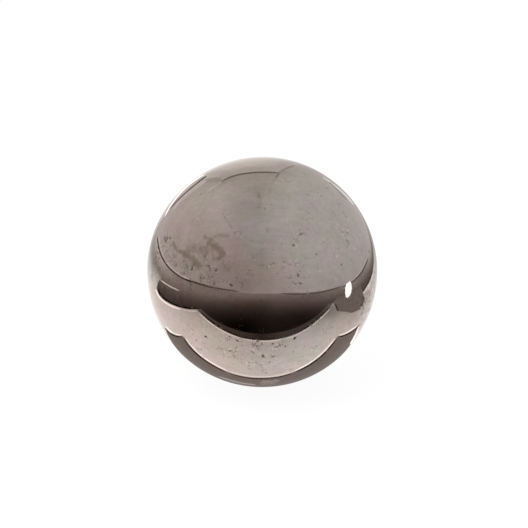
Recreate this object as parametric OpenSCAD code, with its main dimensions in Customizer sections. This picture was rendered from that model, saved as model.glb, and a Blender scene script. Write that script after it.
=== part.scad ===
// Polished steel ball: one solid sphere with the small round pits that use has left in its skin.

/* [Ball] */
// Diameter of the ball
ball_d = 50.8; // [25:0.1:110]

/* [Pits] */
// Width of a wide pit at its mouth
wide_pit_d = 0.7; // [0.3:0.05:1]
// Depth of a wide pit
wide_pit_depth = 0.1; // [0.03:0.01:0.2]
// Width of a small pit at its mouth
small_pit_d = 0.45; // [0.2:0.05:0.6]
// Depth of a small pit
small_pit_depth = 0.06; // [0.02:0.01:0.15]

/* [Hidden] */

ball_r = ball_d / 2;
steel = [0.60, 0.54, 0.49];

// Fineness of the round forms in a preview
ball_facets = 180;
pit_facets = 24;

// The pitted side faces the front, -Y, and looks up by this angle, in degrees
face_tilt = 20;
// Distance of the eye that sees the pitted side, counted in radii from the ball's middle
eye_share = 12.76;

// Places of the pits on that side, across and up from its middle as the eye sees it,
// in shares of the outline's radius
wide_pit_shares = [
    // Upper half
    [0.27, 0.23], [0.35, 0.33], [0.47, 0.15], [0.67, 0.30], [0.69, 0.06], [0.93, 0.17],
    [0.51, 0.66], [0.57, 0.73], [-0.40, 0.01], [-0.61, 0.02], [-0.80, 0.29],
    // Lower half
    [0.31, -0.04], [0.28, -0.57], [0.85, -0.32], [0.01, -0.73], [-0.27, -0.12], [-0.49, -0.56]
];
small_pit_shares = [
    // Upper right
    [0.39, 0.37], [0.56, 0.28], [0.76, 0.24], [0.77, 0.10], [0.75, 0.38], [0.82, 0.42],
    [0.70, 0.59], [0.68, 0.65], [0.48, 0.69], [0.19, 0.08], [0.24, 0.06], [0.22, 0.56],
    // Upper middle and left
    [0.08, 0.58], [0.03, 0.37], [0.01, 0.05], [-0.01, 0.19], [-0.09, 0.26], [-0.18, 0.34],
    [-0.18, 0.50], [-0.32, 0.47], [-0.46, 0.05], [-0.53, 0.22], [-0.60, 0.21], [-0.80, 0.12],
    [-0.74, 0.35], [-0.71, 0.60], [-0.50, 0.69],
    // Lower half
    [0.33, -0.10], [0.13, -0.02], [-0.22, -0.06], [-0.43, -0.05], [-0.51, -0.06],
    [0.09, -0.62], [0.20, -0.64], [0.27, -0.69], [0.37, -0.64], [0.18, -0.77], [0.25, -0.85],
    [-0.04, -0.64], [-0.11, -0.81], [-0.22, -0.59], [-0.28, -0.56], [-0.36, -0.60],
    [-0.31, -0.68], [-0.21, -0.75], [-0.25, -0.80], [-0.52, -0.68], [-0.57, -0.59]
];

// Direction from the ball's middle to a place on the pitted side: where the line from the eye
// through that place meets a ball of radius 1
function facing(place) =
    let (
        off_axis_sq = place.x * place.x + place.y * place.y,
        tangent_sq = eye_share * eye_share - 1,
        reach = (eye_share - sqrt(1 - off_axis_sq)) / (1 + off_axis_sq / tangent_sq),
        across = place.x * reach / sqrt(tangent_sq),
        up = place.y * reach / sqrt(tangent_sq),
        towards = eye_share - reach
    )
    [
        across,
        up * sin(face_tilt) - towards * cos(face_tilt),
        up * cos(face_tilt) + towards * sin(face_tilt)
    ];

// Round dent: the sphere that meets the skin in a circle of mouth_d and reaches depth below it
module pit(place, mouth_d, depth) {
    mouth_r = mouth_d / 2;
    dent_r = (mouth_r * mouth_r / depth + depth) / 2;
    outward = facing(place);
    rotate([0, -asin(outward.z), atan2(outward.y, outward.x)])
        translate([ball_r - depth + dent_r, 0, 0])
            sphere(r = dent_r, $fn = pit_facets);
}

module ball() {
    color(steel)
    difference() {
        sphere(d = ball_d, $fn = ball_facets);
        for (place = wide_pit_shares)
            pit(place, wide_pit_d, wide_pit_depth);
        for (place = small_pit_shares)
            pit(place, small_pit_d, small_pit_depth);
    }
}

ball();
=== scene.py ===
import math

import bpy
import numpy as np
from bpy.props import FloatProperty, FloatVectorProperty, IntProperty, PointerProperty
from mathutils import Matrix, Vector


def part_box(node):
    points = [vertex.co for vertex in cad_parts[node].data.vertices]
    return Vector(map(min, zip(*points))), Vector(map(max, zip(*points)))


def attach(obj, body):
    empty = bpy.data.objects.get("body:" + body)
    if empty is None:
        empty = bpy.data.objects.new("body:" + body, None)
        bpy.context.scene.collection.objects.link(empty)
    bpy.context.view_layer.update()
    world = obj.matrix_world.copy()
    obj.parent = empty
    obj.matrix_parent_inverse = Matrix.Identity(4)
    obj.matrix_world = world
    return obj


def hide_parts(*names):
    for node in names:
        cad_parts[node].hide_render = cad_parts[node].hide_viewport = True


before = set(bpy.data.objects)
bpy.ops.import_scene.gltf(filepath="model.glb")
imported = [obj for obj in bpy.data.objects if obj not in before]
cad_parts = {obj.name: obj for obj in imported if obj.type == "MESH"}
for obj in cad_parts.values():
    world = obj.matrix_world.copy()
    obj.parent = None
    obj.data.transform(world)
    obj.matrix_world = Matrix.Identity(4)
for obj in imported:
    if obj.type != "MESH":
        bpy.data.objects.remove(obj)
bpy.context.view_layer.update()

bl_info = {
    "name": "Polished steel ball",
    "version": (1, 0, 0),
    "blender": (4, 5, 0),
    "location": "3D View > Sidebar > Steel ball",
    "description": "Makes a worn, mirror-polished steel ball and the small studio that it is seen in",
    "category": "Object",
}

# Radius of the ball and the height of what it lies on, in metres, from the frame
BALL_LOW, BALL_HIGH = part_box("ball")
BALL_RADIUS = (BALL_HIGH.z - BALL_LOW.z) / 2
FLOOR_HEIGHT = BALL_LOW.z

# The image that the camera takes: its side and the radius of the ball's outline in it, in pixels, and the
# width of the sensor in millimetres
IMAGE_SIDE = 528
OUTLINE_RADIUS = 115.27
SENSOR_WIDTH = 36

# Places on the side of the ball that faces the camera, across and up from the middle of its outline,
# in shares of the outline's radius
WIDE_PIT_SHARES = (
    (0.27, 0.23), (0.35, 0.33), (0.47, 0.15), (0.67, 0.30), (0.69, 0.06), (0.93, 0.17),
    (0.51, 0.66), (0.57, 0.73), (-0.40, 0.01), (-0.61, 0.02), (-0.80, 0.29),
    (0.31, -0.04), (0.28, -0.57), (0.85, -0.32), (0.01, -0.73), (-0.27, -0.12), (-0.49, -0.56),
)
SMALL_PIT_SHARES = (
    (0.39, 0.37), (0.56, 0.28), (0.76, 0.24), (0.77, 0.10), (0.75, 0.38), (0.82, 0.42),
    (0.70, 0.59), (0.68, 0.65), (0.48, 0.69), (0.19, 0.08), (0.24, 0.06), (0.22, 0.56),
    (0.08, 0.58), (0.03, 0.37), (0.01, 0.05), (-0.01, 0.19), (-0.09, 0.26), (-0.18, 0.34),
    (-0.18, 0.50), (-0.32, 0.47), (-0.46, 0.05), (-0.53, 0.22), (-0.60, 0.21), (-0.80, 0.12),
    (-0.74, 0.35), (-0.71, 0.60), (-0.50, 0.69),
    (0.33, -0.10), (0.13, -0.02), (-0.22, -0.06), (-0.43, -0.05), (-0.51, -0.06),
    (0.09, -0.62), (0.20, -0.64), (0.27, -0.69), (0.37, -0.64), (0.18, -0.77), (0.25, -0.85),
    (-0.04, -0.64), (-0.11, -0.81), (-0.22, -0.59), (-0.28, -0.56), (-0.36, -0.60),
    (-0.31, -0.68), (-0.21, -0.75), (-0.25, -0.80), (-0.52, -0.68), (-0.57, -0.59),
)
# Clean patches, where the warm film is thin or gone: place across and up, radius in radians, strength
CLEAN_SPOTS = (
    (0.56, 0.45, 0.66, 1.0), (-0.45, 0.55, 0.30, 0.35), (-0.08, 0.30, 0.18, 0.4),
    (-0.97, 0.06, 0.20, 0.8), (0.05, -0.72, 0.50, 0.4), (0.45, -0.62, 0.40, 0.35),
)
# Purple tinge, or a green one where the strength is below 0: place across and up, radius in radians, strength
PURPLE_SPOTS = (
    (-0.16, 0.28, 0.16, 0.25), (-0.15, -0.02, 0.16, 0.7), (-0.05, 0.92, 0.30, -1.0),
    (-0.42, 0.78, 0.20, -0.7), (0.30, 0.84, 0.20, -0.7), (-0.58, -0.46, 0.22, -0.6),
    (-0.30, -0.66, 0.20, -0.4), (0.0, -0.90, 0.20, -0.5), (0.84, 0.30, 0.12, 0.8),
    (-0.90, 0.02, 0.13, -0.7), (0.92, -0.02, 0.12, -0.7), (0.70, -0.34, 0.10, -0.6),
    (-0.72, -0.22, 0.12, 0.5), (0.02, 0.70, 0.10, -0.6), (-0.66, -0.16, 0.10, -0.5),
    (0.82, -0.15, 0.10, -0.6), (0.66, -0.64, 0.14, -0.7),
)
# Brown stain: three places across and up along each stroke, its half width in radians, strength
STAIN_STROKES = (
    ((-0.500, 0.304), (-0.426, 0.268), (-0.374, 0.220), 0.026, 0.7),
    ((-0.461, 0.249), (-0.392, 0.207), (-0.344, 0.155), 0.034, 1.0),
    ((-0.344, 0.155), (-0.374, 0.125), (-0.421, 0.107), 0.026, 0.9),
    ((-0.452, 0.233), (-0.429, 0.162), (-0.418, 0.112), 0.020, 0.7),
    ((-0.635, 0.198), (-0.557, 0.194), (-0.478, 0.181), 0.060, 0.65),
    ((-0.768, 0.249), (-0.734, 0.190), (-0.657, 0.146), 0.022, 0.8),
    ((-0.678, 0.155), (-0.609, 0.116), (-0.548, 0.060), 0.034, 1.0),
    ((-0.730, 0.028), (-0.704, 0.077), (-0.643, 0.094), 0.018, 0.65),
    ((-0.548, 0.034), (-0.470, 0.051), (-0.452, -0.010), 0.018, 0.6),
    ((-0.350, 0.068), (-0.310, 0.028), (-0.295, -0.036), 0.018, 0.6),
    ((-0.400, 0.311), (-0.350, 0.316), (-0.296, 0.311), 0.030, 0.70),
    ((-0.322, 0.472), (-0.295, 0.425), (-0.264, 0.378), 0.018, 0.5),
    ((-0.175, 0.705), (-0.165, 0.712), (-0.150, 0.720), 0.018, 0.50),
    ((-0.045, 0.700), (-0.030, 0.680), (-0.025, 0.650), 0.022, 0.50),
    ((-0.075, 0.560), (-0.050, 0.550), (-0.030, 0.565), 0.026, 0.50),
)
# Points along each stroke
STROKE_STEPS = 25
# Wear, where fine marks are strong and crowded: place across and up, radius in radians, strength
WEAR_SPOTS = (
    (-0.88, 0.18, 0.18, 1.0), (-0.66, 0.04, 0.20, 0.35), (-0.44, -0.02, 0.20, 0.35),
    (-0.94, -0.12, 0.20, 0.6), (-0.20, -0.66, 0.20, 0.9), (0.02, -0.68, 0.14, 0.9),
    (-0.55, -0.55, 0.20, 0.4), (0.45, -0.62, 0.25, 0.25), (0.32, -0.06, 0.14, 0.5),
    (0.08, 0.04, 0.16, 0.4), (0.72, 0.36, 0.25, 0.35), (0.96, -0.14, 0.18, 0.9),
    (0.92, -0.28, 0.18, 0.9), (0.60, 0.66, 0.16, 0.3), (-0.39, -0.36, 0.06, 0.4),
    (-0.25, -0.44, 0.05, 0.4), (-0.76, -0.19, 0.05, 0.7), (-0.70, -0.24, 0.05, 0.5),
    (0.05, -0.955, 0.06, 1.0), (0.05, -0.80, 0.22, 0.4),
)
# Rubs, soft curved lines: place across and up, radius in radians, strength
RUB_SPOTS = (
    (-0.66, 0.04, 0.20, 0.4), (-0.42, -0.02, 0.20, 0.4), (-0.86, 0.16, 0.20, 0.6),
    (-0.96, -0.10, 0.20, 0.8), (-0.70, -0.14, 0.16, 0.5), (0.96, -0.16, 0.20, 1.0),
    (0.92, -0.30, 0.20, 1.0), (-0.90, 0.40, 0.15, 0.5),
)
# Dull patch: place across and up, radius in radians, strength
DULL_SPOTS = ((0.02, -0.958, 0.06, 1.0), (0.11, -0.952, 0.06, 1.0))
# Slant of the scratches in radians, and how many there are to a metre along and across them
SCRATCH_RISE = 0.7
SCRATCH_FINENESS = (120, 1300, 1300)
# Worn skin round a pit: its radius in radians and its strength. Then how dirty each wide pit is, in the
# order of their places, and how dirty a small one is.
PIT_WEAR_REACH = 0.05
PIT_WEAR = 0.5
WIDE_DIRTS = (1.1, 0.3, 0.6, 0.4, 0.8, 0.8, 0.7, 0.6, 1.0, 1.0, 1.0, 0.8, 0.6, 1.6, 1.4, 1.0, 1.2)
SMALL_DIRT = 0.55
# Pits on the side turned away: seed of their places and of the turn of every pit, directions drawn for each,
# and how far behind the ball's middle they lie at least, in radii
PIT_SEED = 7
FAR_TRIES = 4
FAR_BEHIND = 0.15
# How far round a pit the points of the skin are gathered, in widths of a wide pit, and how strongly
GATHER_WIDTHS = 4
GATHER_PULL = 0.72


class BallSettings(bpy.types.PropertyGroup):
    """Sizes, colours and finish of the ball."""

    radius: FloatProperty(
        name="Radius", description="Radius of the ball", default=BALL_RADIUS, unit="LENGTH",
    )
    cells: IntProperty(
        name="Cells", description="Cells along each side of the six patches of skin", default=128, min=16,
    )
    wide_pit_width: FloatProperty(
        name="Wide pit width", description="Width of a wide pit at its mouth",
        default=0.0007, unit="LENGTH", precision=5,
    )
    wide_pit_depth: FloatProperty(
        name="Wide pit depth", description="Depth of a wide pit",
        default=0.0001, unit="LENGTH", precision=5,
    )
    small_pit_width: FloatProperty(
        name="Small pit width", description="Width of a small pit at its mouth",
        default=0.00045, unit="LENGTH", precision=5,
    )
    small_pit_depth: FloatProperty(
        name="Small pit depth", description="Depth of a small pit",
        default=0.00006, unit="LENGTH", precision=5,
    )
    far_pits: IntProperty(
        name="Far pits", description="Small pits scattered over the side turned away", default=50, min=0,
    )
    steel_colour: FloatVectorProperty(
        name="Steel", description="Colour of clean polished steel",
        default=(0.535, 0.48, 0.438), subtype="COLOR", min=0, max=1,
    )
    film_colour: FloatVectorProperty(
        name="Film", description="Colour of steel under the thin warm film that handling leaves",
        default=(0.56, 0.46, 0.41), subtype="COLOR", min=0, max=1,
    )
    stain_colour: FloatVectorProperty(
        name="Stain", description="Colour of the brown stain",
        default=(0.35, 0.275, 0.213), subtype="COLOR", min=0, max=1,
    )
    pit_colour: FloatVectorProperty(
        name="Pit", description="Colour of the dirt in the pits",
        default=(0.15, 0.12, 0.10), subtype="COLOR", min=0, max=1,
    )
    polish: FloatProperty(
        name="Roughness", description="Roughness of clean polished steel",
        default=0.05, subtype="FACTOR", min=0, max=1,
    )


class StageSettings(bpy.types.PropertyGroup):
    """Camera and studio round the ball."""

    camera_height: FloatProperty(
        name="Camera height", description="Angle of the camera above the level of the ball's middle",
        default=math.radians(20), subtype="ANGLE",
    )
    lens: FloatProperty(
        name="Lens", description="Focal length of the camera, in millimetres", default=100, unit="CAMERA",
    )
    outline_share: FloatProperty(
        name="Outline", description="Radius of the ball's outline as a share of the image's side",
        default=OUTLINE_RADIUS / IMAGE_SIDE, subtype="FACTOR",
    )
    outline_middle: FloatVectorProperty(
        name="Outline middle", description="Middle of the ball's outline in the image, in pixels",
        default=(262.15, 271.87), size=2,
    )
    studio_glow: FloatProperty(
        name="Studio glow", description="Brightness of all that the polish mirrors", default=1.09, min=0,
    )
    floor_glow: FloatProperty(
        name="Floor glow", description="Share of the white floor's brightness that no shadow takes away",
        default=0.94, subtype="FACTOR",
    )
    floor_colour: FloatVectorProperty(
        name="Floor", description="Colour of the floor where the lamps light it",
        default=(0.068, 0.068, 0.068), subtype="COLOR", min=0, max=1,
    )
    lamp_power: FloatProperty(
        name="Lamp power", description="Power of the soft lamp over the ball", default=1.2, unit="POWER",
    )


def unit(vectors):
    """Each vector divided by its own length."""
    return vectors / np.maximum(np.linalg.norm(vectors, axis=-1, keepdims=True), 1e-12)


def eye_distance(stage):
    """Distance of the camera from the ball's middle, in radii. The outline of a ball at distance d has
    the tangent 1 / sqrt(d * d - 1), which the lens draws at the outline's share of the image."""
    return math.sqrt((stage.lens / SENSOR_WIDTH / stage.outline_share) ** 2 + 1)


def facing(places, stage):
    """Directions from the ball's middle to places on the side that faces the camera: where the line from
    the camera through each place of the outline meets a ball of radius 1."""
    places = np.asarray(places, float)
    eye = eye_distance(stage)
    off_axis = (places ** 2).sum(axis=1)
    tangent = eye * eye - 1
    reach = (eye - np.sqrt(1 - off_axis)) / (1 + off_axis / tangent)
    across, up = (places * (reach / math.sqrt(tangent))[:, None]).T
    towards = eye - reach
    tilt_sin, tilt_cos = math.sin(stage.camera_height), math.cos(stage.camera_height)
    return np.stack((across, up * tilt_sin - towards * tilt_cos, up * tilt_cos + towards * tilt_sin), axis=1)


def cube_ball(cells):
    """A cube's six faces, each a grid of cells by cells squares, blown up to a ball of radius 1. The grid
    line at share s of a face's width lies at tan((s - 1/2) * 90 degrees), which keeps the squares even.
    Points that two faces share are one point."""
    line = np.arange(cells + 1)
    u, v = (axis.ravel() for axis in np.meshgrid(line, line, indexing="ij"))
    first = np.arange(u.size).reshape(cells + 1, cells + 1)
    around = grid_quads(first)
    lattice = []
    quads = []
    for axis in range(3):
        for side in (cells, 0):
            points = np.empty((u.size, 3), int)
            points[:, axis] = side
            points[:, (axis + 1) % 3] = u
            points[:, (axis + 2) % 3] = v
            quads.append((around if side else around[:, ::-1]) + len(lattice) * u.size)
            lattice.append(points)
    points, where = np.unique(np.concatenate(lattice), axis=0, return_inverse=True)
    quads = where.ravel()[np.concatenate(quads)]
    return unit(np.tan((points / cells - 0.5) * math.pi / 2)), quads


def grid_quads(first):
    """Squares between the neighbouring points of a grid of point numbers."""
    corners = (first[:-1, :-1], first[1:, :-1], first[1:, 1:], first[:-1, 1:])
    return np.stack(corners, axis=-1).reshape(-1, 4)


def gather(directions, middles, reach, pull):
    """Draws the points of a ball closer round each middle. A point at angle a, up to reach, moves to
    a * (1 - pull * (1 - (a / reach)^2)^2), so the crowding fades to nothing at the reach."""
    for middle in middles:
        near = np.flatnonzero(directions @ middle > math.cos(reach))
        cosine = np.clip(directions[near] @ middle, -1, 1)[:, None]
        angle = np.arccos(cosine)
        outward = unit(directions[near] - cosine * middle)
        angle = angle * (1 - pull * (1 - (angle / reach) ** 2) ** 2)
        directions[near] = np.cos(angle) * middle + np.sin(angle) * outward
    return directions


# How far a pit's rim is from a circle: shares of its half width that go round it two and three times
PIT_OVAL = 0.22
PIT_LOBE = 0.13
# Direction from which the angle round a pit is counted
PIT_ZERO = (0.3, 0.5, 0.8)


def dents(directions, middles, widths, depths, dirts, turns, radius):
    """Pits in a ball. At share s of the way to the rim a pit's depth is the full depth times 1 - s^2, and
    at angle t round it the rim lies at the half width times 1 + oval * cos(2 t) + lobe * cos(3 t).
    Gives the depth at each point, the tilt of the skin there, and the dirt, which fades with the depth."""
    depth = np.zeros(len(directions))
    tilt = np.zeros((len(directions), 3))
    dirt = np.zeros(len(directions))
    for middle, width, full, most, turn in zip(middles, widths, depths, dirts, turns):
        half = width / 2 / radius
        near = np.flatnonzero(directions @ middle > math.cos(half * (1 + PIT_OVAL + PIT_LOBE)))
        cosine = np.clip(directions[near] @ middle, -1, 1)
        angle = np.arccos(cosine)
        away = unit(cosine[:, None] * directions[near] - middle)
        around = np.cross(directions[near], away)
        side = unit(np.cross(middle, PIT_ZERO))
        t = np.arctan2(directions[near] @ np.cross(middle, side), directions[near] @ side) + turn
        rim = 1 + PIT_OVAL * np.cos(2 * t) + PIT_LOBE * np.cos(3 * t)
        rim_slope = -2 * PIT_OVAL * np.sin(2 * t) - 3 * PIT_LOBE * np.sin(3 * t)
        s = angle / (half * rim)
        inside = s < 1
        near, away, around = near[inside], away[inside], around[inside]
        s, rim, rim_slope = s[inside], rim[inside], rim_slope[inside]
        slope = 2 * full * s / (half * rim) / radius
        depth[near] = np.maximum(depth[near], full * (1 - s ** 2))
        tilt[near] += away * slope[:, None] - around * (slope * rim_slope / rim)[:, None]
        dirt[near] = np.maximum(dirt[near], most * (1 - s ** 2))
    return depth, tilt, dirt


def spots(directions, middles, radii, strengths):
    """Sum of soft round spots, kept within 1: each has its strength at its middle and fades as
    exp(-(a / radius)^2)."""
    total = np.zeros(len(directions))
    for middle, radius, strength in zip(middles, radii, strengths):
        angle = np.arccos(np.clip(directions @ middle, -1, 1))
        total += strength * np.exp(-(angle / radius) ** 2)
    return np.clip(total, -1, 1)


def table_spots(directions, table, stage):
    """Spots of a table whose rows are a place across and up, a radius and a strength."""
    table = np.asarray(table, float)
    return spots(directions, facing(table[:, :2], stage), table[:, 2], table[:, 3])


def curve(first, middle, last, steps):
    """Places along the curve a + b t + c t^2 that is at three places when t is 0, 1/2 and 1."""
    t = np.linspace(0, 1, steps)[:, None]
    first, middle, last = (np.asarray(place, float) for place in (first, middle, last))
    return first * (1 - t) * (1 - 2 * t) + middle * 4 * t * (1 - t) + last * t * (2 * t - 1)


def strokes(directions, table, stage):
    """Soft strokes: at angle a from its curve each has its strength times exp(-(a / half width)^2), and the
    strongest one counts."""
    total = np.zeros(len(directions))
    for first, middle, last, half, strength in table:
        along = facing(curve(first, middle, last, STROKE_STEPS), stage)
        angle = np.arccos(np.clip((directions @ along.T).max(axis=1), -1, 1))
        total = np.maximum(total, strength * np.exp(-(angle / half) ** 2))
    return total


def mesh_object(name, points, quads):
    """Mesh object at the origin, with its place in its points, its faces smooth."""
    mesh = bpy.data.meshes.new(name)
    mesh.from_pydata(points, [], quads)
    mesh.polygons.foreach_set("use_smooth", np.ones(len(quads), bool))
    mesh.update()
    piece = bpy.data.objects.new(name, mesh)
    bpy.context.scene.collection.objects.link(piece)
    return piece


def point_values(piece, name, values):
    """Keeps one number for each point of a mesh under a name that its material reads."""
    layer = piece.data.attributes.new(name, "FLOAT", "POINT")
    layer.data.foreach_set("value", np.asarray(values, np.float32))


def place_node(tree, kind, inputs=(), **settings):
    """Adds a node, sets its settings, and sets or links its inputs, given as (socket, value or output)."""
    node = tree.nodes.new(kind)
    for name, value in settings.items():
        setattr(node, name, value)
    for socket, value in inputs:
        if isinstance(value, bpy.types.NodeSocket):
            tree.links.new(value, node.inputs[socket])
        else:
            node.inputs[socket].default_value = value
    return node


def new_material(name):
    """Empty node material and its output node."""
    material = bpy.data.materials.new(name)
    material.use_nodes = True
    material.node_tree.nodes.clear()
    return material, place_node(material.node_tree, "ShaderNodeOutputMaterial")


def maths(tree, operation, *values):
    """Output of one step of arithmetic on numbers or outputs."""
    return place_node(tree, "ShaderNodeMath", enumerate(values), operation=operation).outputs[0]


def vector_maths(tree, operation, *inputs):
    """Output of one step of arithmetic on colours, given as (socket, output)."""
    return place_node(tree, "ShaderNodeVectorMath", inputs, operation=operation).outputs[0]


def ramp(tree, value, low, high):
    """Share that rises smoothly from 0 at low to 1 at high."""
    node = place_node(
        tree, "ShaderNodeMapRange", (("Value", value), ("From Min", low), ("From Max", high)),
        interpolation_type="SMOOTHSTEP",
    )
    return node.outputs["Result"]


def blend_colours(tree, share, low, high):
    """Colour output that goes from low to high with the share."""
    node = place_node(tree, "ShaderNodeMix", (("Factor", share),), data_type="RGBA")
    for socket, value in ((6, low), (7, high)):
        if isinstance(value, bpy.types.NodeSocket):
            tree.links.new(value, node.inputs[socket])
        else:
            node.inputs[socket].default_value = (*value, 1)
    return node.outputs[2]


# Fineness of the noise in the finish, in waves to a metre
FILM_FINENESS = 90
CLOUD_FINENESS = 280
GRAIN_FINENESS = 1050
TINGE_FINENESS = 230
STAIN_FINENESS = 450
CROWD_FINENESS = 420
SPECK_FINENESS = 1500
DASH_FINENESS = 750
DASH_BREAKS = 650
RUB_FINENESS = 370
RUB_PATCHES = 210
FLECK_FINENESS = 650
DIRT_FINENESS = 2400
# How much each kind of mark lightens the skin where it is strongest, or darkens it below 0
SCRATCH_SHADE = 0.2
DARK_SPECK_SHADE = -0.75
LIGHT_SPECK_SHADE = 0.42
DARK_RUB_SHADE = -0.30
LIGHT_RUB_SHADE = 0.22
FLECK_SHADE = -0.34
# How much roughness each kind adds
STAIN_HAZE = 0.06
DARK_SPECK_HAZE = 0.12
LIGHT_SPECK_HAZE = 0.18
DULL_HAZE = 0.8
DIRT_HAZE = 0.3
# How much of their own colour the stain and the dirt show, and what the tinges multiply the colour by
STAIN_COVER = 0.9
DIRT_COVER = 0.75
GREEN_TINGE = (0.97, 1.012, 0.97)
PURPLE_TINGE = (1.03, 0.988, 1.04)
# Depth of the dark specks in metres, and how much of it tilts the skin
SPECK_DEPTH = 0.00002
SPECK_TILT = 0.2


def steel_finish(ball):
    """Polished steel: a mirror under a thin warm film, in clouds that lean to green or to purple, with a
    brown stain, dark and light specks, scratches, rubs, flecks, a dull patch and dirt in the pits. The
    values kept at the points say where these lie, and noise on the ball's own coordinates breaks them up."""
    material, output = new_material("polished_steel")
    tree = material.node_tree
    place = place_node(tree, "ShaderNodeTexCoord").outputs["Object"]

    def noise(per_metre, detail, distortion=0.0):
        return place_node(
            tree, "ShaderNodeTexNoise",
            (("Vector", place), ("Scale", per_metre), ("Detail", detail), ("Distortion", distortion)),
        ).outputs["Fac"]

    def layer(name):
        return place_node(tree, "ShaderNodeAttribute", attribute_name=name).outputs["Fac"]

    def line(value, level, width):
        off = maths(tree, "ABSOLUTE", maths(tree, "SUBTRACT", value, level))
        return ramp(tree, off, width, 0.0)

    clean, purple, stain, wear, rub, dull, pit = (
        layer(name) for name in ("clean", "purple", "stain", "wear", "rub", "dull", "pit")
    )

    # Warm film, gone from the clean patches, with a wandering edge
    film = ramp(tree, maths(tree, "MULTIPLY_ADD", noise(FILM_FINENESS, 3), 0.6, clean), 1.1, 0.5)
    # Mottle: light and dark clouds a few millimetres wide, and a finer grain in them
    clouds = noise(CLOUD_FINENESS, 4)
    grain = noise(GRAIN_FINENESS, 2)
    mottle = maths(tree, "MULTIPLY_ADD", clouds, 0.26, 0.87)
    mottle = maths(tree, "MULTIPLY_ADD", maths(tree, "SUBTRACT", grain, 0.5), 0.22, mottle)
    # Tinge: clouds that lean to green or to purple
    tinge = maths(tree, "MULTIPLY_ADD", purple, 0.2, noise(TINGE_FINENESS, 2))
    tinge = ramp(tree, tinge, 0.3, 0.7)
    # Brown stain: the strokes, with frayed edges and uneven within
    frayed = maths(tree, "MULTIPLY", stain, 0.82)
    frayed = maths(tree, "MULTIPLY_ADD", noise(STAIN_FINENESS, 4, 1.0), 0.95, frayed)
    patchy = maths(tree, "MULTIPLY_ADD", grain, 0.8, 0.55)
    brown = maths(tree, "MULTIPLY", ramp(tree, frayed, 0.70, 1.22), patchy)
    # Marks: dark and light specks and short dark dashes, stronger and more crowded where the skin is worn
    # and weaker on the stain
    crowd = maths(tree, "MULTIPLY_ADD", wear, 0.15, noise(CROWD_FINENESS, 2))
    crowd = ramp(tree, crowd, 0.56, 0.70)
    force = maths(tree, "MULTIPLY", crowd, maths(tree, "MULTIPLY_ADD", wear, 0.55, 0.45))
    force = maths(tree, "MULTIPLY", force, maths(tree, "MULTIPLY_ADD", stain, -0.7, 1.0))
    specks = noise(SPECK_FINENESS, 2, 0.4)
    dashes = line(noise(DASH_FINENESS, 3), 0.5, 0.045)
    dashes = maths(tree, "MULTIPLY", dashes, ramp(tree, noise(DASH_BREAKS, 1), 0.48, 0.56))
    dark = maths(tree, "MAXIMUM", ramp(tree, specks, 0.64, 0.71), dashes)
    dark = maths(tree, "MULTIPLY", force, dark)
    bright = maths(tree, "MULTIPLY", force, ramp(tree, specks, 0.41, 0.34))
    # Scratches: fine streaks that rise to the right
    turned = place_node(tree, "ShaderNodeMapping", (
        ("Vector", place), ("Rotation", (0, SCRATCH_RISE, 0)), ("Scale", SCRATCH_FINENESS),
    )).outputs[0]
    scratch = place_node(
        tree, "ShaderNodeTexNoise", (("Vector", turned), ("Scale", 1.0), ("Detail", 2)),
    ).outputs["Fac"]
    # Rubs: soft curved lines, dark and light
    rubs = noise(RUB_FINENESS, 2, 1.5)
    rubbed = maths(tree, "MULTIPLY", rub, ramp(tree, noise(RUB_PATCHES, 2), 0.46, 0.60))
    dark_rub = maths(tree, "MULTIPLY", rubbed, line(rubs, 0.46, 0.06))
    light_rub = maths(tree, "MULTIPLY", rubbed, line(rubs, 0.55, 0.05))
    # Flecks: broad dark specks among the rubs
    flecks = maths(tree, "MULTIPLY_ADD", rub, 0.05, noise(FLECK_FINENESS, 2, 0.6))
    flecks = maths(tree, "MULTIPLY", rub, ramp(tree, flecks, 0.58, 0.68))
    # Dirt: in the middle of each pit, uneven
    uneven = maths(tree, "MULTIPLY_ADD", noise(DIRT_FINENESS, 2), 1.4, 0.3)
    dirt = ramp(tree, maths(tree, "MULTIPLY", pit, uneven), 0.15, 0.8)

    shade = mottle
    for mark, change in (
        (maths(tree, "SUBTRACT", scratch, 0.5), SCRATCH_SHADE), (dark, DARK_SPECK_SHADE),
        (bright, LIGHT_SPECK_SHADE), (dark_rub, DARK_RUB_SHADE), (light_rub, LIGHT_RUB_SHADE),
        (flecks, FLECK_SHADE),
    ):
        shade = maths(tree, "MULTIPLY_ADD", mark, change, shade)
    tinted = blend_colours(tree, film, ball.steel_colour, ball.film_colour)
    stained = blend_colours(tree, maths(tree, "MULTIPLY", brown, STAIN_COVER), tinted, ball.stain_colour)
    leaning = blend_colours(tree, tinge, GREEN_TINGE, PURPLE_TINGE)
    coloured = vector_maths(tree, "MULTIPLY", (0, stained), (1, leaning))
    shaded = vector_maths(tree, "SCALE", (0, coloured), ("Scale", shade))
    colour = blend_colours(tree, maths(tree, "MULTIPLY", dirt, DIRT_COVER), shaded, ball.pit_colour)

    roughness = ball.polish
    for mark, change in (
        (brown, STAIN_HAZE), (dark, DARK_SPECK_HAZE), (bright, LIGHT_SPECK_HAZE),
        (maths(tree, "MULTIPLY", dull, grain), DULL_HAZE), (dirt, DIRT_HAZE),
    ):
        roughness = maths(tree, "MULTIPLY_ADD", mark, change, roughness)

    bump = place_node(
        tree, "ShaderNodeBump",
        (("Height", dark), ("Strength", SPECK_TILT), ("Distance", SPECK_DEPTH)), invert=True,
    )
    shader = place_node(
        tree, "ShaderNodeBsdfPrincipled",
        (("Base Color", colour), ("Roughness", roughness), ("Metallic", 1.0), ("Normal", bump.outputs[0])),
    )
    tree.links.new(shader.outputs[0], output.inputs["Surface"])
    return material


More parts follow.
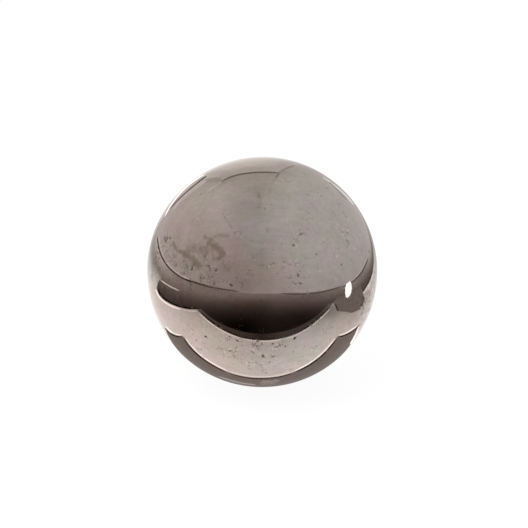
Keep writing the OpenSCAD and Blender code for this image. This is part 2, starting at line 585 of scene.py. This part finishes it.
class BALL_OT_skin(bpy.types.Operator):
    """Make the ball with its pits, stain and polish"""

    bl_idname = "steel_ball.skin"
    bl_label = "Make the ball"

    def execute(self, context):
        ball, stage = context.scene.steel_ball, context.scene.steel_ball_stage
        rng = np.random.default_rng(PIT_SEED)
        far = unit(rng.normal(size=(FAR_TRIES * ball.far_pits, 3)))
        far = far[far[:, 1] > FAR_BEHIND][:ball.far_pits]
        middles = np.concatenate((facing(WIDE_PIT_SHARES, stage), facing(SMALL_PIT_SHARES, stage), far))
        turns = rng.uniform(0, 2 * math.pi, len(middles))
        wide = np.arange(len(middles)) < len(WIDE_PIT_SHARES)
        widths = np.where(wide, ball.wide_pit_width, ball.small_pit_width)
        depths = np.where(wide, ball.wide_pit_depth, ball.small_pit_depth)
        dirts = np.full(len(middles), SMALL_DIRT)
        dirts[wide] = WIDE_DIRTS

        directions, quads = cube_ball(ball.cells)
        reach = GATHER_WIDTHS * ball.wide_pit_width / ball.radius
        directions = gather(directions, middles, reach, GATHER_PULL)
        depth, tilt, dirt = dents(directions, middles, widths, depths, dirts, turns, ball.radius)
        piece = mesh_object("polished_ball", directions * (ball.radius - depth)[:, None], quads)
        piece.data.normals_split_custom_set_from_vertices(unit(directions - tilt))
        every = np.ones(len(middles))
        round_pits = spots(directions, middles, PIT_WEAR_REACH * every, PIT_WEAR * every)
        point_values(piece, "pit", dirt)
        point_values(piece, "clean", table_spots(directions, CLEAN_SPOTS, stage))
        point_values(piece, "purple", table_spots(directions, PURPLE_SPOTS, stage))
        point_values(piece, "stain", strokes(directions, STAIN_STROKES, stage))
        point_values(piece, "dull", table_spots(directions, DULL_SPOTS, stage))
        point_values(piece, "rub", table_spots(directions, RUB_SPOTS, stage))
        point_values(piece, "wear", np.maximum(round_pits, table_spots(directions, WEAR_SPOTS, stage)))
        piece.data.materials.append(steel_finish(ball))
        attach(piece, "root")
        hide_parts("ball")
        return {"FINISHED"}


# Warmth of what is dim in the studio: how much red is added and blue taken where there is no light at all,
# and the level over which that fades
DIM_RED = 0.38
DIM_BLUE = 0.12
DIM_FADE = 0.2


def glow_card(stage, name, points, level):
    """Card of the studio that only the ball's polish sees: its glow is painted light that stands in for the
    lit surfaces and lamps of a room. Points are a grid of places, in radii of the ball, and level is what the
    card sends out at each. With k = exp(-level / fade) its colour is the level times (1 + red * k, 1, 1 -
    blue * k), so dim parts are warm and bright ones white."""
    quads = grid_quads(np.arange(level.size).reshape(level.shape))
    card = mesh_object(name, points.reshape(-1, 3) * BALL_RADIUS, quads)
    level = level.ravel() * stage.studio_glow
    dim = np.exp(-level / DIM_FADE)
    red = level * (1 + DIM_RED * dim)
    blue = level * (1 - DIM_BLUE * dim)
    colours = np.stack((red, level, blue, np.ones_like(level)), axis=1)
    layer = card.data.attributes.new("glow", "FLOAT_COLOR", "POINT")
    layer.data.foreach_set("color", colours.astype(np.float32).ravel())
    card.data.materials.append(bpy.data.materials.get("card_glow") or card_finish())
    for ray in ("camera", "diffuse", "transmission", "volume_scatter", "shadow"):
        setattr(card, "visible_" + ray, False)


def card_finish():
    """Plain glow in the card's own colours."""
    material, output = new_material("card_glow")
    tree = material.node_tree
    colour = place_node(tree, "ShaderNodeAttribute", attribute_name="glow").outputs["Color"]
    shader = place_node(tree, "ShaderNodeEmission", (("Color", colour),))
    tree.links.new(shader.outputs[0], output.inputs["Surface"])
    material.cycles.emission_sampling = "NONE"
    return material


def on_floor(plan, height):
    """Points at a height over places across and back."""
    return np.concatenate((plan, np.full(plan.shape[:-1] + (1,), height)), axis=-1)


def flat_card(stage, name, outline, height, level):
    """Flat card inside an outline of places across and back, in radii: a fan round the outline's mean."""
    rim = np.asarray(outline + outline[:1], float)
    plan = np.stack((np.tile(rim[:-1].mean(axis=0), (len(rim), 1)), rim))
    glow_card(stage, name, on_floor(plan, height), np.full(plan.shape[:2], level))


# How far along its way to the floor and to the tent a mirrored point may lie at most
FLOOR_SHARE = 0.97
TENT_SHARE = 0.95


def mirrored(places, stage, reach, nearer=1.0):
    """Points that the camera sees mirrored at places of the outline: its line of sight is turned back
    about the skin where it meets the ball, and followed for the reach, in radii, or nearly to the floor or
    the tent, times the share nearer, which keeps cards that lie on each other apart."""
    skin = facing(places, stage)
    eye = eye_distance(stage) * np.array((0, -math.cos(stage.camera_height), math.sin(stage.camera_height)))
    sight = unit(skin - eye)
    away = sight - 2 * (sight * skin).sum(axis=1, keepdims=True) * skin
    to_floor = (skin[:, 2] + 1) / np.maximum(-away[:, 2], 1e-6)
    to_tent = tent_radius(np.degrees(np.arctan2(away[:, 0], -away[:, 1]))) - 1
    reach = np.minimum(np.minimum(reach, FLOOR_SHARE * to_floor), TENT_SHARE * to_tent)
    return skin + (nearer * reach)[:, None] * away


# Reach of a strip, in radii, at the outline and how much further it is in the outline's middle, the share by
# which each strip lies nearer than the one before it, and the largest share of the outline's radius
STRIP_NEAR = 1.2
STRIP_FAR = 3.3
STRIP_STEP = 0.001
OUTLINE_INSIDE = 0.997
# Thin edges in the studio, as the camera sees them mirrored: name, three places across and up along the
# edge, width and level. Sizes are shares of the outline's radius. The bright rims along the edges of the
# sheet and the mat are painted highlights where those edges catch the light, and the dark strips beside them
# are painted shade.
STRIPS = (
    ("backdrop_top", (-0.355, 0.780), (-0.159, 0.851), (0.164, 0.860), 0.012, 0.16),
    ("backdrop_corner", (-0.350, 0.777), (-0.405, 0.747), (-0.455, 0.712), 0.009, 0.72),
    ("backdrop_left_shade", (-0.500, 0.780), (-0.430, 0.800), (-0.345, 0.800), 0.034, 0.45),
    ("backdrop_side", (0.170, 0.876), (0.218, 0.900), (0.277, 0.923), 0.010, 0.36),
    ("tent_seam", (0.150, 0.862), (0.133, 0.836), (0.113, 0.812), 0.018, 0.32),
    ("tent_seam_end", (0.113, 0.812), (0.097, 0.782), (0.078, 0.752), 0.020, 0.47),
    ("left_post", (-0.850, 0.470), (-0.700, 0.695), (-0.490, 0.850), 0.011, 1.60),
    ("left_post_shade", (-0.812, 0.535), (-0.656, 0.694), (-0.481, 0.830), 0.011, 0.18),
    ("left_post_end", (-0.561, 0.775), (-0.520, 0.805), (-0.481, 0.830), 0.012, 0.12),
    ("left_post_glow", (-0.777, 0.537), (-0.644, 0.678), (-0.476, 0.795), 0.026, 0.70),
    ("right_bar", (0.517, 0.826), (0.675, 0.710), (0.800, 0.575), 0.009, 1.05),
    ("right_bar_shade", (0.580, 0.784), (0.658, 0.706), (0.736, 0.619), 0.007, 0.32),
    ("left_rail", (-0.889, -0.064), (-0.806, -0.122), (-0.715, -0.163), 0.008, 1.10),
    ("left_rail_shade", (-0.875, -0.055), (-0.798, -0.110), (-0.715, -0.148), 0.008, 0.20),
    ("left_band_shade", (-0.936, 0.132), (-0.906, 0.028), (-0.866, -0.064), 0.013, 0.32),
    ("right_band_shade", (0.869, -0.182), (0.920, -0.092), (0.962, 0.016), 0.010, 0.06),
    ("right_band_light", (0.874, -0.192), (0.905, -0.147), (0.932, -0.103), 0.008, 1.20),
    ("right_card_shade", (0.872, -0.205), (0.880, -0.252), (0.845, -0.305), 0.010, 0.06),
    ("right_card_notch", (0.632, -0.275), (0.645, -0.308), (0.660, -0.340), 0.012, 0.03),
    ("sheet_shade_left", (-0.539, -0.339), (-0.373, -0.475), (-0.178, -0.560), 0.009, 0.01),
    ("sheet_rim_left", (-0.551, -0.350), (-0.382, -0.489), (-0.183, -0.576), 0.008, 1.20),
    ("sheet_shade_middle", (-0.178, -0.561), (0.007, -0.585), (0.195, -0.566), 0.009, 0.01),
    ("sheet_rim_middle", (-0.182, -0.577), (0.007, -0.601), (0.198, -0.582), 0.008, 1.00),
    ("sheet_shade_right", (0.194, -0.565), (0.385, -0.478), (0.585, -0.302), 0.009, 0.02),
    ("sheet_rim_right", (0.198, -0.581), (0.394, -0.492), (0.597, -0.313), 0.008, 0.95),
    ("lobe_rim", (-0.924, -0.146), (-0.855, -0.255), (-0.699, -0.327), 0.010, 1.70),
    ("lobe_rim_end", (-0.700, -0.327), (-0.635, -0.338), (-0.561, -0.340), 0.008, 1.00),
    ("lobe_shade_end", (-0.695, -0.304), (-0.633, -0.315), (-0.562, -0.317), 0.016, 0.00),
    ("lobe_shade", (-0.903, -0.145), (-0.842, -0.240), (-0.695, -0.306), 0.016, 0.00),
    ("mat_rim_left", (-0.667, -0.569), (-0.526, -0.727), (-0.295, -0.860), 0.009, 1.70),
    ("mat_rim_middle", (-0.295, -0.859), (-0.010, -0.912), (0.275, -0.859), 0.008, 1.25),
    ("mat_shade_middle", (-0.300, -0.873), (-0.010, -0.927), (0.280, -0.873), 0.010, 0.05),
    ("mat_rim_right", (0.275, -0.860), (0.479, -0.741), (0.638, -0.566), 0.008, 1.80),
    ("mat_shade_left", (-0.681, -0.576), (-0.536, -0.739), (-0.301, -0.874), 0.011, 0.03),
    ("mat_shade_right", (0.280, -0.872), (0.488, -0.752), (0.650, -0.572), 0.012, 0.00),
    ("mat_end_left", (-0.838, -0.470), (-0.772, -0.531), (-0.695, -0.548), 0.011, 1.60),
    ("mat_end_shade_left", (-0.846, -0.484), (-0.777, -0.546), (-0.696, -0.564), 0.011, 0.03),
    ("mat_end_right", (0.667, -0.548), (0.733, -0.528), (0.823, -0.468), 0.009, 1.70),
    ("mat_end_shade_right", (0.667, -0.562), (0.739, -0.540), (0.832, -0.479), 0.011, 0.02),
    ("mat_tip_right", (0.841, -0.470), (0.806, -0.554), (0.762, -0.630), 0.012, 1.60),
    ("foot_light", (-0.383, -0.902), (-0.220, -0.955), (-0.051, -0.979), 0.010, 0.50),
    ("foot_patch", (-0.020, -0.966), (0.055, -0.961), (0.130, -0.953), 0.026, 0.38),
)
# The same for the hem of the tent on the table
HEMS = (
    ("hem_left", (-0.908, 0.320), (-0.833, 0.067), (-0.603, -0.094), 0.011, 0.01),
    ("hem_left_light", (-0.894, 0.322), (-0.822, 0.076), (-0.598, -0.082), 0.009, 0.75),
    ("hem_left_end", (-0.690, -0.052), (-0.585, -0.090), (-0.440, -0.131), 0.012, 0.02),
    ("hem_front", (-0.600, -0.089), (-0.426, -0.135), (-0.193, -0.172), 0.013, 0.07),
    ("hem_right", (0.154, -0.185), (0.433, -0.187), (0.686, -0.128), 0.012, 0.10),
    ("hem_far_right", (0.687, -0.131), (0.829, -0.045), (0.922, 0.126), 0.012, 0.11),
    ("hem_far_right_light", (0.684, -0.121), (0.821, -0.038), (0.912, 0.129), 0.008, 0.66),
)


def strip(stage, nearer, on_tent, name, first, middle, last, width, level, steps=33):
    """Narrow card along a curve through three places of the outline, as the camera sees it mirrored. Its
    width narrows to the ends as 1 - (2 t - 1)^8. Off the tent its reach at share r of the outline's radius
    is near + far * (1 - r^2), so it stands clear of the ball or lies just over the floor."""
    t = np.linspace(0, 1, steps)[:, None]
    path = curve(first, middle, last, steps)
    along = unit(np.gradient(path, axis=0))
    aside = along[:, ::-1] * (-1, 1) * width / 2 * (1 - (2 * t - 1) ** 8)
    places = np.concatenate((path - aside, path + aside))
    places *= np.minimum(1, OUTLINE_INSIDE / np.linalg.norm(places, axis=1))[:, None]
    reach = np.inf if on_tent else STRIP_NEAR + STRIP_FAR * (1 - (places ** 2).sum(axis=1))
    points = mirrored(places, stage, reach, nearer).reshape(2, steps, 3)
    glow_card(stage, name, points, np.full((2, steps), level))


# Foot of the tent on the table: azimuths in degrees, 0 towards the camera and growing to the right, and its
# distance from the ball's middle there, in radii
FOOT_AZIMUTHS = (
    -180, -150, -136, -128, -120, -106, -91, -84, -77, 12, 23,
    29, 35, 41, 54, 60, 74, 82, 100, 118, 126, 180,
)
FOOT_RADII = (
    9, 14, 21, 30, 35, 36, 40, 46, 60, 60, 44,
    33, 22, 17, 12.7, 11.4, 10, 9.4, 8.8, 9.0, 9.6, 9,
)
# Even level of the tent
TENT_LEVEL = 0.59


def tent_radius(azimuth):
    """Distance of the tent's foot from the ball's middle, in radii."""
    return np.interp(azimuth, FOOT_AZIMUTHS, FOOT_RADII)


def tent_level(azimuth, elevation):
    """Light of the tent by azimuth and elevation, in degrees: an even level, less a dip towards the camera
    that is deepest and widest low down, less a share at the top that is largest on the left, less a shade
    behind, darkest in a line over the backdrop, and less soft shades low on both sides, with two soft lights
    on the left behind. Each fades as exp(-(a / width)^2), the shade behind as exp(-(a / width)^4), or in a
    straight line."""
    dip = np.interp(elevation, (10, 45, 60, 75, 90), (0.265, 0.18, 0.11, 0.05, 0.04))
    width = np.where(azimuth < -18, np.interp(elevation, (20, 50), (75, 55)), 42)
    dip = dip * np.exp(-((azimuth + 18) / width) ** 2)
    left = 0.5 - 0.5 * np.sin(np.radians(azimuth))
    top = np.interp(elevation, (55, 65, 75, 90), (-0.01, 0.045, 0.09, 0.065)) * left
    top = top + np.interp(elevation, (65, 75, 90), (0, 0.02, 0.05))
    off_back = (azimuth + 170 + 180) % 360 - 180
    line = 0.06 * np.exp(-((elevation - 43) / 2.5) ** 2)
    line = line + 0.14 * np.exp(-((off_back + 20) / 8) ** 2 - ((elevation - 47) / 7) ** 2)
    line = line + 0.08 * np.exp(-((off_back - 14) / 8) ** 2 - ((elevation - 45) / 6) ** 2)
    back = np.exp(-(off_back / 30) ** 4) * (np.interp(elevation, (58, 70), (0.10, 0.05)) + line)
    right = 0.075 * np.exp(-((azimuth - 65) / 40) ** 2) * np.clip((22 - elevation) / 22, 0, 1)
    side = 0.035 * np.exp(-((azimuth + 135) / 25) ** 2 - ((elevation - 38) / 15) ** 2)
    side = side + 0.07 * np.exp(-((azimuth + 146) / 10) ** 2 - ((elevation - 4) / 7) ** 2)
    low_right = 0.05 * np.exp(-((azimuth - 115) / 35) ** 2) * np.clip((3 - elevation) / 8, 0, 1)
    low_left = 0.04 * np.exp(-((azimuth + 98) / 9) ** 2 - ((elevation - 5) / 8) ** 2)
    return TENT_LEVEL - dip - top - back - right - low_right - low_left + side


def light_tent(stage):
    """Tent over the studio: at each azimuth it rises from its foot on the table to the top, along an arc
    of the radius of that foot."""
    azimuth, rise = np.meshgrid(np.linspace(-180, 180, 361), np.linspace(0, 1, 91))
    radius = tent_radius(azimuth)
    foot = -np.degrees(np.arcsin(1 / radius))
    elevation = foot + (90 - foot) * rise
    a, e = np.radians(azimuth), np.radians(elevation)
    points = np.stack((np.sin(a) * np.cos(e), -np.cos(a) * np.cos(e), np.sin(e)), axis=-1) * radius[..., None]
    glow_card(stage, "light_tent", points, tent_level(azimuth, elevation))


# How far behind the ball's middle the backdrop stands, in radii, and its even level
BACKDROP_BEHIND = 5.0
BACKDROP_LEVEL = 0.57


def backdrop(stage):
    """Pale board that stands behind the ball, brightest low down and left of its middle: an even level plus
    a share across times a share up, with the share across leaning sideways low on the left."""
    x, z = np.meshgrid(np.linspace(-3.0, 1.1, 42), np.linspace(-0.99, 5.6, 66))
    slant = 0.3 * np.clip((0.2 - z) / 0.6, 0, 1) * np.clip(-x, 0, 1)
    across = np.interp(
        x + slant, (-3.0, -2.4, -1.9, -1.5, -0.7, 0, 0.35, 0.6, 0.7, 1.1),
        (0.28, 0.22, 0.12, 0.45, 0.55, 0.47, 0.33, 0.21, 0.08, 0.04),
    )
    up = np.interp(
        z, (-0.95, -0.71, -0.4, -0.15, 0.4, 1.1, 1.6, 2.0, 2.4, 3.0, 3.6, 3.95, 4.3, 4.6),
        (0, 0.31, 0.72, 0.86, 0.80, 0.61, 0.54, 0.48, 0.42, 0.36, 0.25, 0.15, 0.06, 0),
    )
    points = np.stack((x, np.full_like(x, BACKDROP_BEHIND), z), axis=-1)
    glow_card(stage, "backdrop", points, BACKDROP_LEVEL + across * up)


# Heights of the flat cards over the ball's middle, in radii: each lies just over the one before it
TABLE_HEIGHT = -0.999
SHEET_HEIGHT = -0.998
MAT_HEIGHT = -0.997


def dark_table(stage):
    """Table round the ball: nearly black in front of the sheet, least there, and rising as 1 - exp(-s). s is
    a sum of powers of the distances to the side, to the front and behind. On the right the power of the
    distance to the side goes over to a straight line further in front. Behind, the rise is higher, and far
    out on the left and the right a little light is added."""
    side, reach = np.meshgrid(np.radians(np.linspace(-180, 180, 181)), np.geomspace(0.5, 62, 70))
    x, y = np.sin(side) * reach, -np.cos(side) * reach
    front = np.maximum(-2 - y, 0)
    behind = np.maximum(y + 2, 0)
    even = np.clip((front - 0.8) / 2.5, 0, 1)
    right = (1 - even) * np.abs(x / 4.8) ** 3 + even * 0.14 * x
    s = np.where(x < 0, np.abs(x / 5.6) ** 2.4, right) + (front / 9) ** 1.5 + (behind / 20) ** 2
    most = 0.20 + 0.05 * x ** 2 / (x ** 2 + front ** 2 + 1)
    glow = np.where(x < 0, 0.03 * np.clip(y + 1, 0, 10), 0.07 * np.clip(y - 2.5, 0, 6))
    far_left = 0.06 * np.clip((reach - 5) / 7, 0, 1) * np.clip((-70 - np.degrees(side)) / 25, 0, 1)
    far_right = 0.055 * np.clip((x - 4.2 - 2.8 * np.clip(-y / 2, 0, 1)) / 1.6, 0, 1)
    least = np.interp(x, (-0.5, 0.3, 1.0, 1.5), (0.001, 0.0105, 0.0105, 0.004))
    least = least + 0.006 * np.clip(front - 0.6, 0, 1) * np.clip(0.3 - x, 0, 1)
    level = least + (most + glow) * (1 - np.exp(-s)) + far_left + far_right
    glow_card(stage, "dark_table", on_floor(np.stack((x, y), axis=-1), TABLE_HEIGHT), level)


# Edges of the pale sheet on the table, in radii: its left edge as places across and back, its right edge
# as a place across, and how far the middle of its front edge lies behind the corners. Then its level far
# back and the width of the shaded strip before it.
SHEET_LEFT = (
    (-2.66, -1.722), (-2.66, -1.2), (-2.72, -0.8), (-2.82, 0.0), (-2.86, 0.90), (-3.13, 1.30), (-4.0, 1.60),
    (-5.6, 1.80), (-6.0, 9.0),
)
SHEET_RIGHT = 3.41
SHEET_HOLLOW = 0.13
SHEET_FAR_LEVEL = 0.48
FRONT_STRIP_WIDTH = 0.28


def pale_sheet(stage):
    """Sheet under the ball: a share across times a share back, brightest behind on the left, less a painted
    shade at the front corner on the right, going over to an even level far back. Its dimming to the front and
    the middle is painted shade of the ball's own shadow, and its dimming to the right is painted falloff of
    the light. A shaded strip lies along its front edge, which is hollow like a parabola."""
    left_x, left_y = np.array(SHEET_LEFT).T
    rows = np.concatenate((np.linspace(left_y[0], 2, 76), np.linspace(2.2, left_y[-1], 30)))
    share, y = np.meshgrid(np.linspace(0, 1, 40), rows)
    left = np.interp(y, left_y, left_x)
    x = left + (SHEET_RIGHT - left) * share
    hollow = SHEET_HOLLOW * (1 - (2 * share - 1) ** 2)
    y = y + hollow * np.clip((-1 - y) / 0.74, 0, 1)
    by_x = np.interp(
        x, (-6, -5.2, -4.5, -3.5, -2.65, -1.7, -1.1, -0.5, 0, 0.5, 1.1, 1.7, 2.3, 2.75, 3.4),
        (0.40, 0.46, 0.52, 0.72, 0.84, 0.945, 1.03, 1.0, 0.93, 0.97, 0.93, 0.78, 0.66, 0.61, 0.95),
    )
    by_y = np.interp(
        y, (-1.65, -1.05, -0.75, -0.45, 0.9, 2.1, 2.7, 3.5, 4.5, 5.5),
        (0.60, 0.78, 0.88, 0.91, 1.05, 1.13, 1.0, 0.88, 0.74, 0.64),
    )
    far = np.clip((y - 4) / 3, 0, 1)
    # Painted shade at the front right corner of the sheet
    corner_shade = 0.12 * np.clip((x - 1.7) / 0.6, 0, 1) * np.clip((0.6 - y) / 0.6, 0, 1)
    level = (by_x * by_y - corner_shade) * (1 - far) + SHEET_FAR_LEVEL * far
    glow_card(stage, "pale_sheet", on_floor(np.stack((x, y), axis=-1), SHEET_HEIGHT), level)

    x, out = np.meshgrid(np.linspace(left_x[0], SHEET_RIGHT, 40), (0.0, FRONT_STRIP_WIDTH))
    share = (x - left_x[0]) / (SHEET_RIGHT - left_x[0])
    y = left_y[0] + SHEET_HOLLOW * (1 - (2 * share - 1) ** 2) - out
    level = np.interp(
        x, (left_x[0], -1.5, -0.5, 0, 0.5, 2.0, SHEET_RIGHT),
        (0.12, 0.066, 0.052, 0.026, 0.064, 0.068, 0.15),
    )
    glow_card(stage, "front_strip", on_floor(np.stack((x, y), axis=-1), SHEET_HEIGHT), level)


# Outlines of the dark mat under the ball and of the dark card on the right, as places across and back in
# radii, and their levels
MAT_OUTLINE = (
    (-1.28, -0.415), (-0.9, -0.485), (-0.5, -0.565), (0.0, -0.628), (0.5, -0.60), (0.9, -0.565),
    (1.31, -0.52), (1.40, -0.15), (1.52, 0.36), (-1.28, 0.44), (-1.35, 0.02), (-1.34, -0.34),
)
RIGHT_OUTLINE = (
    (2.49, -1.06), (2.38, -0.6), (2.22, -0.25), (2.20, 0.10), (2.27, 0.45), (2.55, 0.66), (3.2, 0.78),
    (4.4, 0.85), (4.4, -1.6), (3.5, -1.68),
)
MAT_LEVEL = 0.228
RIGHT_LEVEL = 0.19
# Outline of the small lamp where the camera sees it mirrored, across and up in shares of the outline's
# radius, its reach in radii and its level
LAMP_OUTLINE = (
    (0.762, -0.081), (0.772, -0.104), (0.776, -0.141), (0.771, -0.180), (0.758, -0.207), (0.738, -0.223),
    (0.726, -0.213), (0.722, -0.184), (0.722, -0.136), (0.731, -0.109), (0.747, -0.094),
)
LAMP_REACH = 3.0
LAMP_LEVEL = 2.6


def lamp_card(stage):
    """Small bright lamp: a fan round the mean of its outline."""
    rim = np.asarray(LAMP_OUTLINE + LAMP_OUTLINE[:1])
    places = np.concatenate((np.tile(rim[:-1].mean(axis=0), (len(rim), 1)), rim))
    points = mirrored(places, stage, LAMP_REACH).reshape(2, len(rim), 3)
    glow_card(stage, "lamp_card", points, np.full(points.shape[:2], LAMP_LEVEL))


def studio_cards(stage):
    """What the polish mirrors: a tent, a backdrop, a dark table, a pale sheet with a dark mat under the ball
    and a dark card on its right, thin edges and a small lamp."""
    light_tent(stage)
    backdrop(stage)
    dark_table(stage)
    pale_sheet(stage)
    flat_card(stage, "dark_mat", MAT_OUTLINE, MAT_HEIGHT, MAT_LEVEL)
    flat_card(stage, "right_card", RIGHT_OUTLINE, MAT_HEIGHT, RIGHT_LEVEL)
    for number, row in enumerate(STRIPS + HEMS):
        strip(stage, 1 - STRIP_STEP * number, number >= len(STRIPS), *row)
    lamp_card(stage)


# Half the side of the white floor, and the side and the place of the soft lamp, in radii
FLOOR_REACH = 200
SOFT_LAMP_SIDE = 12
SOFT_LAMP_PLACE = (-6, -4, 14)


def white_floor(stage):
    """Plain floor, white to the camera and in polish but for the ball's soft shadow."""
    reach = FLOOR_REACH * BALL_RADIUS
    corners = np.array(((-reach, -reach), (reach, -reach), (reach, reach), (-reach, reach)))
    points = np.column_stack((corners, np.full(4, FLOOR_HEIGHT)))
    floor = mesh_object("white_floor", points, np.array(((0, 1, 2, 3),)))
    material, output = new_material("white_floor")
    tree = material.node_tree
    lit = place_node(tree, "ShaderNodeBsdfDiffuse", (("Color", (*stage.floor_colour, 1)),))
    ray = place_node(tree, "ShaderNodeLightPath").outputs
    seen = maths(tree, "ADD", ray["Is Camera Ray"], ray["Is Glossy Ray"])
    seen = maths(tree, "ADD", seen, ray["Is Transmission Ray"])
    strength = maths(tree, "MULTIPLY", seen, stage.floor_glow)
    glow = place_node(tree, "ShaderNodeEmission", (("Strength", strength),))
    both = place_node(tree, "ShaderNodeAddShader", ((0, lit.outputs[0]), (1, glow.outputs[0])))
    tree.links.new(both.outputs[0], output.inputs["Surface"])
    material.cycles.emission_sampling = "NONE"
    floor.data.materials.append(material)


def soft_light(stage):
    """White surroundings and one broad lamp over the ball, which its polish doesn't show."""
    world = bpy.data.worlds.new("white_studio")
    world.use_nodes = True
    background = world.node_tree.nodes["Background"]
    background.inputs["Color"].default_value = (1, 1, 1, 1)
    bpy.context.scene.world = world
    lamp = bpy.data.lights.new("soft_lamp", "AREA")
    lamp.energy = stage.lamp_power
    lamp.size = SOFT_LAMP_SIDE * BALL_RADIUS
    holder = bpy.data.objects.new("soft_lamp", lamp)
    holder.location = [part * BALL_RADIUS for part in SOFT_LAMP_PLACE]
    holder.rotation_euler = holder.location.to_track_quat("Z", "Y").to_euler()
    holder.visible_glossy = False
    bpy.context.scene.collection.objects.link(holder)


def front_camera(stage):
    """Camera in front of the ball and above it, framed so that the outline lies where it should."""
    data = bpy.data.cameras.new("front_camera")
    data.lens = stage.lens
    data.sensor_width = SENSOR_WIDTH
    data.shift_x = (IMAGE_SIDE / 2 - stage.outline_middle[0]) / IMAGE_SIDE
    data.shift_y = (stage.outline_middle[1] - IMAGE_SIDE / 2) / IMAGE_SIDE
    camera = bpy.data.objects.new("front_camera", data)
    turn = Matrix.Rotation(math.pi / 2 - stage.camera_height, 4, "X")
    camera.matrix_world = turn @ Matrix.Translation((0, 0, eye_distance(stage) * BALL_RADIUS))
    bpy.context.scene.collection.objects.link(camera)
    bpy.context.scene.camera = camera


class BALL_OT_stage(bpy.types.Operator):
    """Make the camera, the light, the white floor and the cards that the polish mirrors"""

    bl_idname = "steel_ball.stage"
    bl_label = "Make the studio"

    def execute(self, context):
        stage = context.scene.steel_ball_stage
        front_camera(stage)
        white_floor(stage)
        soft_light(stage)
        studio_cards(stage)
        context.scene.view_settings.view_transform = "Standard"
        return {"FINISHED"}


class BALL_PT_panel(bpy.types.Panel):
    """Sizes, colours and steps of the steel ball"""

    bl_idname = "BALL_PT_panel"
    bl_label = "Steel ball"
    bl_space_type = "VIEW_3D"
    bl_region_type = "UI"
    bl_category = "Steel ball"

    def draw(self, context):
        for title, settings, step in (
            ("Ball", context.scene.steel_ball, BALL_OT_skin),
            ("Studio", context.scene.steel_ball_stage, BALL_OT_stage),
        ):
            box = self.layout.box()
            box.label(text=title)
            for name in settings.bl_rna.properties.keys():
                if name not in ("rna_type", "name"):
                    box.prop(settings, name)
            box.operator(step.bl_idname)


CLASSES = (BallSettings, StageSettings, BALL_OT_skin, BALL_OT_stage, BALL_PT_panel)


def register():
    """Registers the classes and puts the settings on the scene."""
    for cls in CLASSES:
        bpy.utils.register_class(cls)
    bpy.types.Scene.steel_ball = PointerProperty(type=BallSettings)
    bpy.types.Scene.steel_ball_stage = PointerProperty(type=StageSettings)


def unregister():
    """Takes the settings off the scene and the classes out again."""
    del bpy.types.Scene.steel_ball_stage
    del bpy.types.Scene.steel_ball
    for cls in reversed(CLASSES):
        bpy.utils.unregister_class(cls)


def main():
    """Makes the studio and the ball, and keeps the two boxes."""
    register()
    bpy.ops.steel_ball.stage()
    bpy.ops.steel_ball.skin()


if __name__ == "__main__":
    main()
